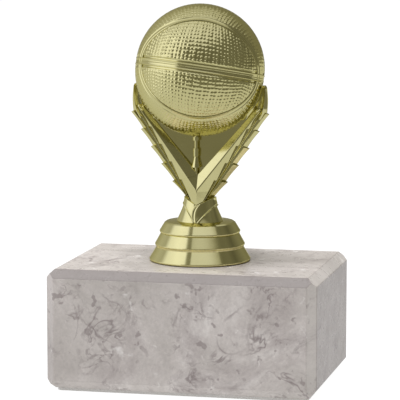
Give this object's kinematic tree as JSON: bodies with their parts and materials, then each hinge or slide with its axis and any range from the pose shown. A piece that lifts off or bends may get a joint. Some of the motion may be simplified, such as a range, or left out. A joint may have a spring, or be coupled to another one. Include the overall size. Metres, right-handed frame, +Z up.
{
  "type": "basketball trophy",
  "caption": "Small free-standing award: a plated basketball in a leafed V-shaped cradle on a stepped round pedestal, bolted to a chamfered marble block.",
  "frame": {"origin": "centre of the object's footprint, on the surface it stands on", "axes": "+Z up, -Y is the front that faces the viewer, +X to the viewer's right"},
  "size_m": [0.1, 0.07, 0.1401],
  "materials": {
    "plated_plastic": "vacuum-metallised light gold, lacquered, slightly soft gloss",
    "marble": "honed and polished, warm grey clouds and veins",
    "felt": "light grey felt",
    "zinc_steel": "bright zinc plating",
    "brass": "turned brass"
  },
  "bodies": {
    "root": {"felt_pad": "felt", "marble_block": "marble", "hex_bolt": "zinc_steel", "spring_washer": "zinc_steel", "flat_washer": "zinc_steel", "thread_insert": "brass", "pedestal": "plated_plastic", "cradle_front_shell": "plated_plastic", "cradle_rear_shell": "plated_plastic", "ball_post": "plated_plastic", "ball_lower_shell": "plated_plastic", "ball_upper_shell": "plated_plastic"}
  },
  "joints": []
}
